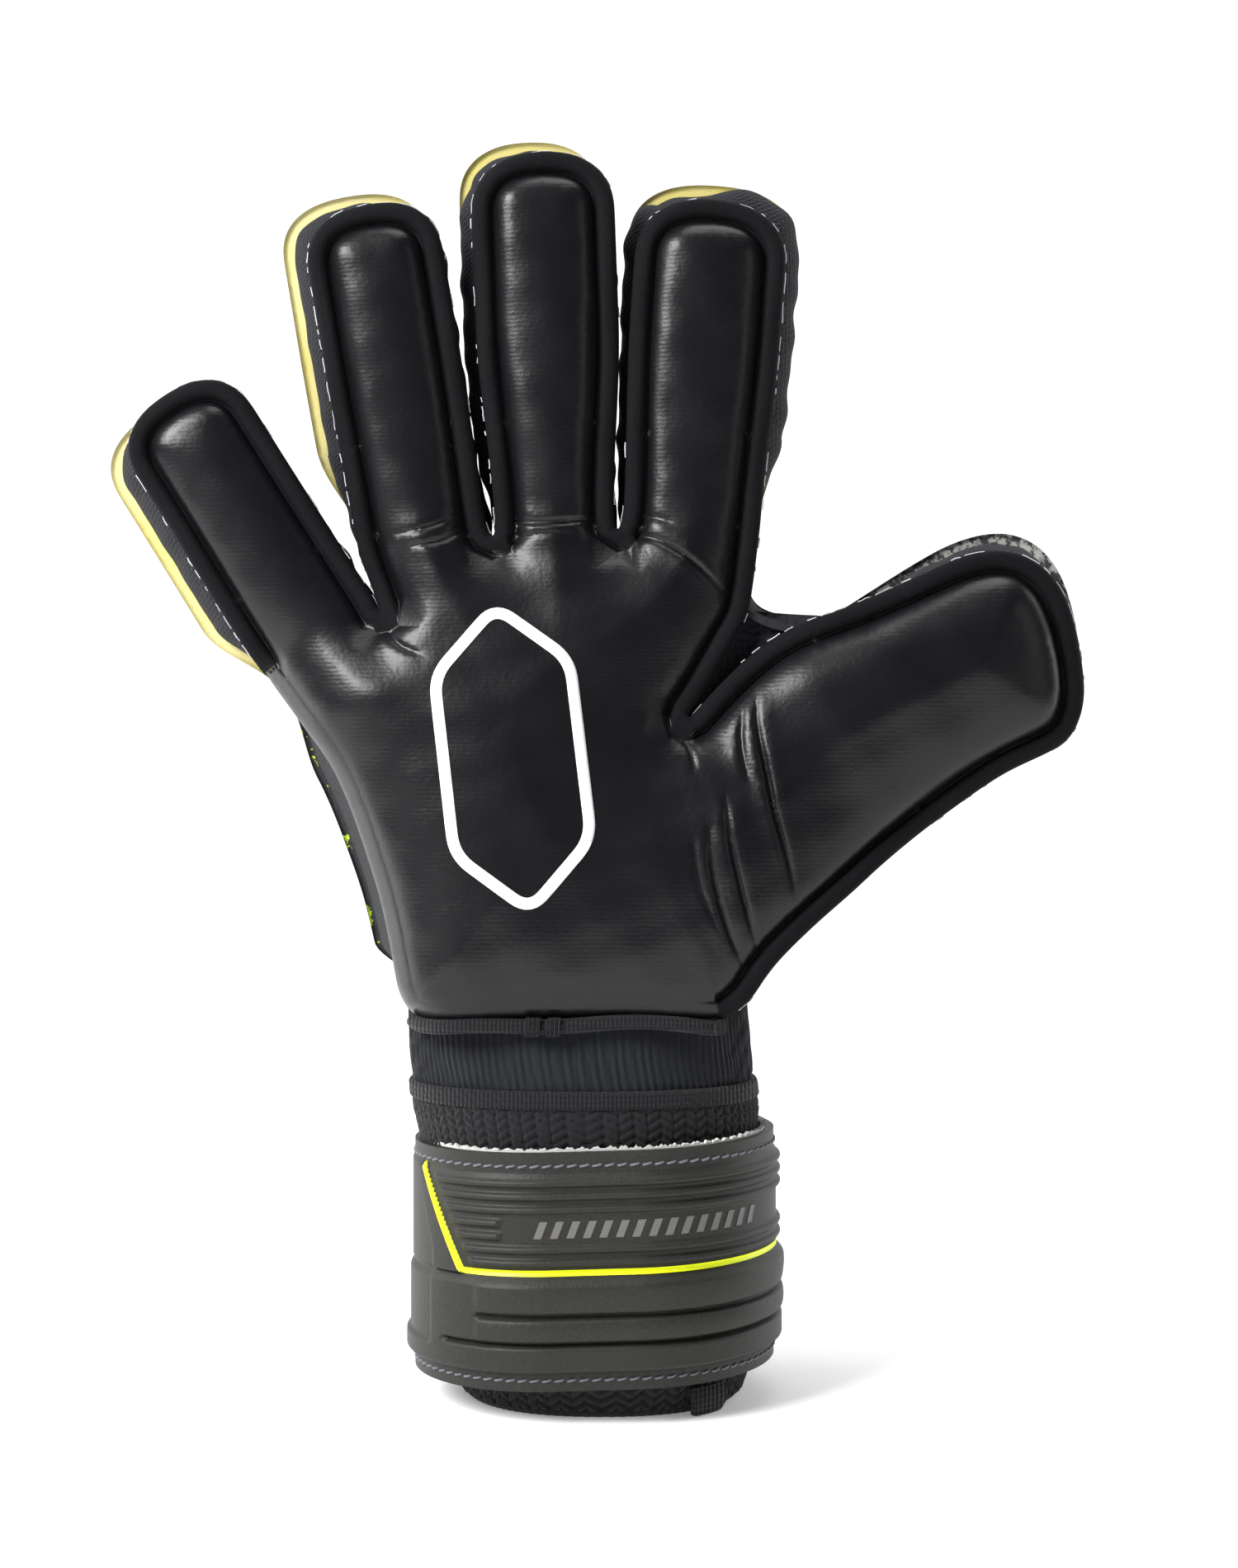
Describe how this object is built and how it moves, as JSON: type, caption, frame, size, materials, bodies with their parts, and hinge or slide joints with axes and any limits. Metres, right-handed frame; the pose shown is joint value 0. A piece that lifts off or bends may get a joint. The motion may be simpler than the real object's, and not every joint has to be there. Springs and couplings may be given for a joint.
{
  "type": "goalkeeper glove",
  "caption": "Padded football goalkeeper glove for the right hand, with flat-cut latex palm, bending fingers, knitted cuff and wrist strap.",
  "frame": {"origin": "middle of the bounding box's bottom face, at the foot of the cuff", "axes": "+Z from the cuff to the fingertips, -Y out of the palm, +X to the thumb side"},
  "size_m": [0.2168, 0.0688, 0.285],
  "materials": {
    "palm_latex": "black goalkeeper latex foam, dull sheen",
    "lining_fabric": "soft black jersey lining",
    "white_print": "thin white rubber print",
    "backhand_latex": "dark grey embossed latex with lime flecks",
    "backhand_pad": "grey raised punch pads",
    "mesh_knit": "black spacer mesh",
    "back_latex": "pale yellow latex foam",
    "binding_tape": "black woven binding",
    "wrist_elastic": "black ribbed elastic mesh",
    "cuff_knit": "black chevron-knit elastic bandage",
    "strap_rubber": "matt dark grey moulded rubber",
    "strap_felt": "white felt backing",
    "lime_print": "lime moulded line",
    "loop_fabric": "black loop pile",
    "hook_tape": "black nylon hooks"
  },
  "bodies": {
    "glove": {"palm_foam": "palm_latex", "palm_lining": "lining_fabric", "palm_print": "white_print", "backhand_panel": "backhand_latex", "backhand_lining": "lining_fabric", "backhand_ribs": "backhand_pad", "pinky_side_wrap": "palm_latex", "index_side_gusset": "mesh_knit", "thumb_web_gusset": "mesh_knit", "thumb_side_gusset": "mesh_knit", "root_gussets": "mesh_knit", "palm_hem_binding": "binding_tape", "hem_bar_tacks": "binding_tape", "wrist_mesh": "wrist_elastic", "wrist_tape": "binding_tape", "knit_cuff": "cuff_knit", "cuff_hem": "cuff_knit", "pull_tab": "binding_tape", "strap_band": "strap_rubber", "strap_felt_lining": "strap_felt", "strap_accent": "lime_print", "loop_patch": "loop_fabric"},
    "pinky_lower": {"pinky_lower_foam": "palm_latex", "pinky_lower_gusset": "mesh_knit", "pinky_lower_back": "back_latex"},
    "pinky_tip": {"pinky_tip_foam": "palm_latex", "pinky_tip_gusset": "mesh_knit", "pinky_tip_back": "back_latex"},
    "ring_lower": {"ring_lower_foam": "palm_latex", "ring_lower_gusset": "mesh_knit", "ring_lower_back": "back_latex"},
    "ring_tip": {"ring_tip_foam": "palm_latex", "ring_tip_gusset": "mesh_knit", "ring_tip_back": "back_latex"},
    "middle_lower": {"middle_lower_foam": "palm_latex", "middle_lower_gusset": "mesh_knit", "middle_lower_back": "back_latex"},
    "middle_tip": {"middle_tip_foam": "palm_latex", "middle_tip_gusset": "mesh_knit", "middle_tip_back": "back_latex"},
    "index_lower": {"index_lower_foam": "palm_latex", "index_lower_gusset": "mesh_knit", "index_lower_back": "back_latex"},
    "index_tip": {"index_tip_foam": "palm_latex", "index_tip_gusset": "mesh_knit", "index_tip_back": "back_latex"},
    "thumb_tip": {"thumb_tip_foam": "palm_latex", "thumb_tip_gusset": "mesh_knit", "thumb_tip_back": "back_latex"},
    "strap_flap": {"strap_flap": "strap_rubber", "hook_patch": "hook_tape", "flap_tab": "lime_print"}
  },
  "joints": [
    {"name": "pinky_root_bend", "type": "hinge", "parent": "glove", "child": "pinky_lower", "pos_m": [-0.0671, -0.008, 0.17725], "axis": [0.8434, 0, 0.5373], "range_deg": [-10, 60], "stiffness_Nm_per_rad": 0.05},
    {"name": "pinky_middle_bend", "type": "hinge", "parent": "pinky_lower", "child": "pinky_tip", "pos_m": [-0.08193, -0.008, 0.20053], "axis": [0.8434, 0, 0.5373], "range_deg": [-5, 60], "stiffness_Nm_per_rad": 0.035},
    {"name": "ring_root_bend", "type": "hinge", "parent": "glove", "child": "ring_lower", "pos_m": [-0.0389, -0.008, 0.2018], "axis": [1, 0, 0], "range_deg": [-10, 60], "stiffness_Nm_per_rad": 0.05},
    {"name": "ring_middle_bend", "type": "hinge", "parent": "ring_lower", "child": "ring_tip", "pos_m": [-0.0389, -0.008, 0.23492], "axis": [1, 0, 0], "range_deg": [-5, 60], "stiffness_Nm_per_rad": 0.035},
    {"name": "middle_root_bend", "type": "hinge", "parent": "glove", "child": "middle_lower", "pos_m": [-0.0108, -0.008, 0.2065], "axis": [1, 0, 0], "range_deg": [-10, 60], "stiffness_Nm_per_rad": 0.05},
    {"name": "middle_middle_bend", "type": "hinge", "parent": "middle_lower", "child": "middle_tip", "pos_m": [-0.0108, -0.008, 0.24261], "axis": [1, 0, 0], "range_deg": [-5, 60], "stiffness_Nm_per_rad": 0.035},
    {"name": "index_root_bend", "type": "hinge", "parent": "glove", "child": "index_lower", "pos_m": [0.02, -0.008, 0.207], "axis": [1, 0, 0], "range_deg": [-10, 60], "stiffness_Nm_per_rad": 0.05},
    {"name": "index_middle_bend", "type": "hinge", "parent": "index_lower", "child": "index_tip", "pos_m": [0.02, -0.008, 0.23759], "axis": [1, 0, 0], "range_deg": [-5, 60], "stiffness_Nm_per_rad": 0.035},
    {"name": "thumb_bend", "type": "hinge", "parent": "glove", "child": "thumb_tip", "pos_m": [0.06137, -0.012, 0.1533], "axis": [0.515, 0, -0.8572], "range_deg": [-10, 50], "stiffness_Nm_per_rad": 0.08},
    {"name": "strap_flap_hinge", "type": "hinge", "parent": "glove", "child": "strap_flap", "pos_m": [0.02951, 0.02626, 0.034], "axis": [0, 0, -1], "range_deg": [0, 110]}
  ]
}
